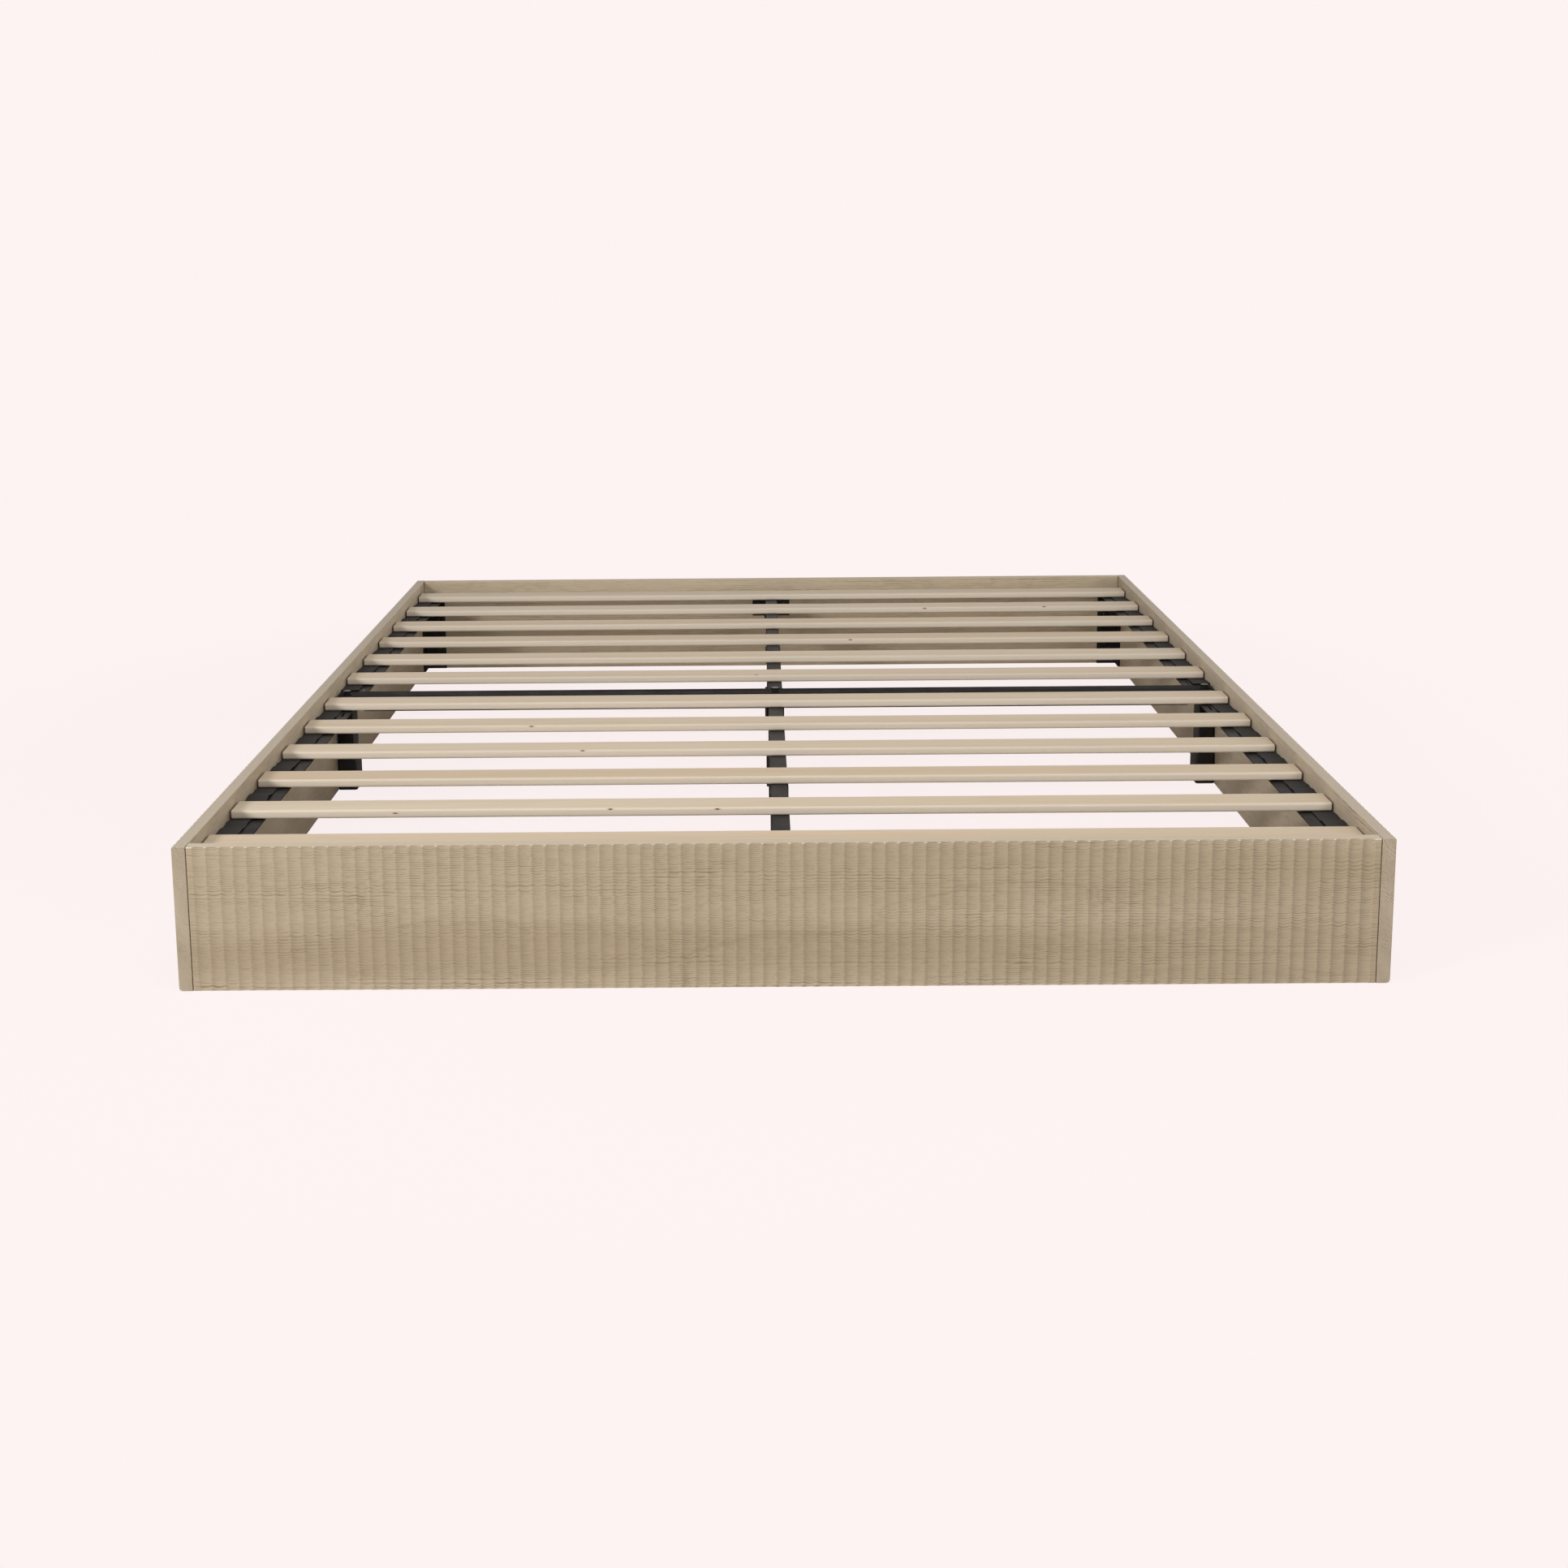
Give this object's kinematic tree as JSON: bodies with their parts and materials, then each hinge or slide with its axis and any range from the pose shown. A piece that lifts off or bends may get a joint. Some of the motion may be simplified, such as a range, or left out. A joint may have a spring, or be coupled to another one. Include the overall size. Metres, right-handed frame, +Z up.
{
  "type": "low slatted floor bed",
  "caption": "Low floor bed with fluted wooden side and end panels around a steel under-frame, which carries lift-out rolls of pale slats in a shallow mattress recess.",
  "frame": {"origin": "on the floor under the middle of the bed", "axes": "+X to the right as seen from the foot end, +Y from the foot end to the head end, +Z up"},
  "size_m": [1.575, 2.07, 0.195],
  "materials": {
    "fluted_wood": "satin, pale greige veneer on fluted board",
    "slat_wood": "planed pale softwood, unvarnished",
    "black_steel": "satin black powder coat",
    "black_bolts": "black oxide",
    "zinc_steel": "bright zinc plate",
    "webbing": "woven polypropylene webbing",
    "boot_plastic": "moulded black plastic"
  },
  "bodies": {
    "frame": {"centre_bolt": "black_bolts", "corner_bolts": "black_bolts", "cross_bar": "black_steel", "cross_bar_end_bolts": "black_bolts", "cross_bar_washers": "black_bolts", "foot_left_post": "black_steel", "foot_left_shoe": "boot_plastic", "foot_panel": "fluted_wood", "foot_right_post": "black_steel", "foot_right_shoe": "boot_plastic", "foot_socket": "black_steel", "front_centre_boot": "boot_plastic", "front_centre_leg": "black_steel", "front_centre_rail": "black_steel", "head_left_post": "black_steel", "head_left_shoe": "boot_plastic", "head_panel": "fluted_wood", "head_right_post": "black_steel", "head_right_shoe": "boot_plastic", "head_socket": "black_steel", "left_mid_boot": "boot_plastic", "left_mid_leg": "black_steel", "left_side_panel": "fluted_wood", "left_slat_rail": "black_steel", "middle_centre_boot": "boot_plastic", "middle_centre_leg": "black_steel", "panel_inserts": "zinc_steel", "rail_bolts": "black_bolts", "rear_centre_boot": "boot_plastic", "rear_centre_leg": "black_steel", "rear_centre_rail": "black_steel", "right_mid_boot": "boot_plastic", "right_mid_leg": "black_steel", "right_side_panel": "fluted_wood", "right_slat_rail": "black_steel", "socket_bolts": "black_bolts"},
    "front_slat_roll": {"front_left_webbing": "webbing", "front_right_webbing": "webbing", "front_slat_1": "slat_wood", "front_slat_2": "slat_wood", "front_slat_3": "slat_wood", "front_slat_4": "slat_wood", "front_slat_5": "slat_wood", "front_slat_6": "slat_wood"},
    "rear_slat_roll": {"rear_left_webbing": "webbing", "rear_right_webbing": "webbing", "rear_slat_1": "slat_wood", "rear_slat_2": "slat_wood", "rear_slat_3": "slat_wood", "rear_slat_4": "slat_wood", "rear_slat_5": "slat_wood", "rear_slat_6": "slat_wood"}
  },
  "joints": [
    {"name": "front_roll_lift", "type": "slide", "parent": "frame", "child": "front_slat_roll", "axis": [0, 0, 1], "range_m": [0, 0.15]},
    {"name": "rear_roll_lift", "type": "slide", "parent": "frame", "child": "rear_slat_roll", "axis": [0, 0, 1], "range_m": [0, 0.15]}
  ]
}
